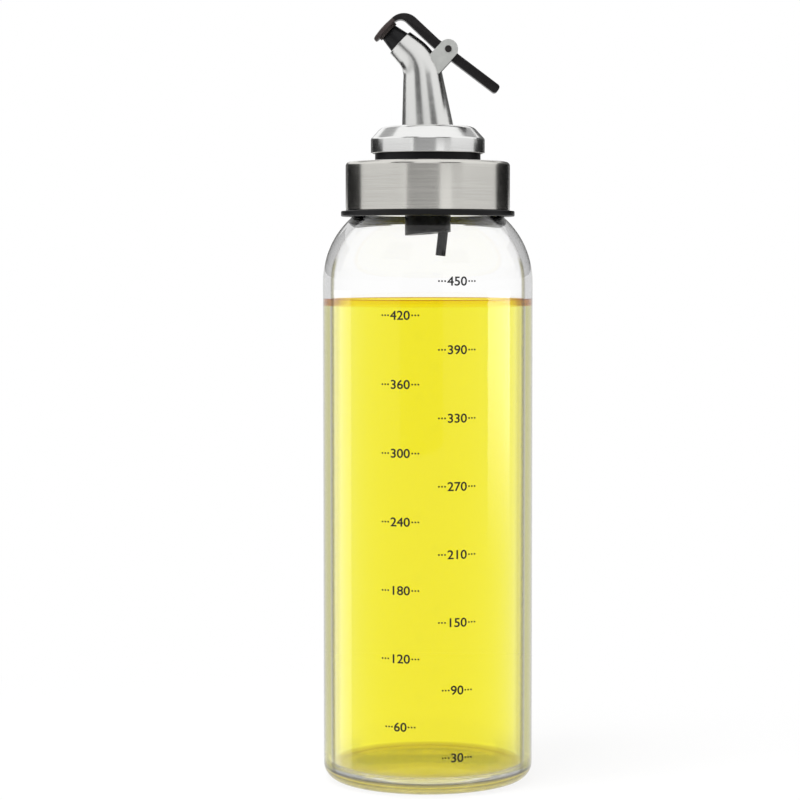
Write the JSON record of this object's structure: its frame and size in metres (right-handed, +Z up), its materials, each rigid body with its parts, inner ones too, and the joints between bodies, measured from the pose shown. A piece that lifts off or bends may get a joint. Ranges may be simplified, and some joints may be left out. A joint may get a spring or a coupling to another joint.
{
  "type": "glass oil bottle with flip-top pourer",
  "caption": "Clear glass cooking-oil bottle with a steel screw cap and a push-in curved steel pourer whose flip lever lifts a lid off the nozzle.",
  "frame": {"origin": "centre of the bottle's base, on the plane it stands on", "axes": "+Z up along the bottle's axis, the spout pours towards -X and the lever's tail points to +X"},
  "size_m": [0.065, 0.065, 0.2372],
  "materials": {
    "glass": "clear, fire-polished",
    "seal_rubber": "matte",
    "black_plastic": "satin",
    "brushed_steel": "brushed round the axis",
    "polished_steel": "fine satin polish",
    "satin_steel": "satin",
    "dark_steel": "black oxide",
    "lever_plastic": "moulded semi-gloss",
    "pad_rubber": "matte"
  },
  "bodies": {
    "bottle": {"glass_bottle": "glass"},
    "seal": {"cap_gasket": "seal_rubber"},
    "cap": {"cap_liner": "black_plastic", "cap_shell": "brushed_steel"},
    "pourer": {"stopper_core": "black_plastic", "stopper_sleeve": "seal_rubber", "air_tube": "black_plastic", "pourer_flange": "polished_steel", "spout_shell": "polished_steel", "nozzle": "black_plastic", "hinge_ear_front": "satin_steel", "hinge_ear_rear": "satin_steel", "pivot_pin": "dark_steel"},
    "lever": {"flip_lever": "lever_plastic", "lid_pad": "pad_rubber"}
  },
  "joints": [
    {"name": "cap_rise", "type": "slide", "parent": "bottle", "child": "seal", "axis": [0, 0, 1], "range_m": [0, 0.006]},
    {"name": "cap_turn", "type": "hinge", "parent": "seal", "child": "cap", "pos_m": [0, 0, 0.184], "axis": [0, 0, 1], "range_deg": [0, 540]},
    {"name": "pourer_pull", "type": "slide", "parent": "cap", "child": "pourer", "axis": [0, 0, 1], "range_m": [0, 0.035]},
    {"name": "lever_flip", "type": "hinge", "parent": "pourer", "child": "lever", "pos_m": [0.0063, 0, 0.22614], "axis": [0, 1, 0], "range_deg": [0, 40]}
  ],
  "couplings": [
    {"joint": "cap_rise", "follows": "cap_turn", "m_per_rad": 0.0006366}
  ]
}
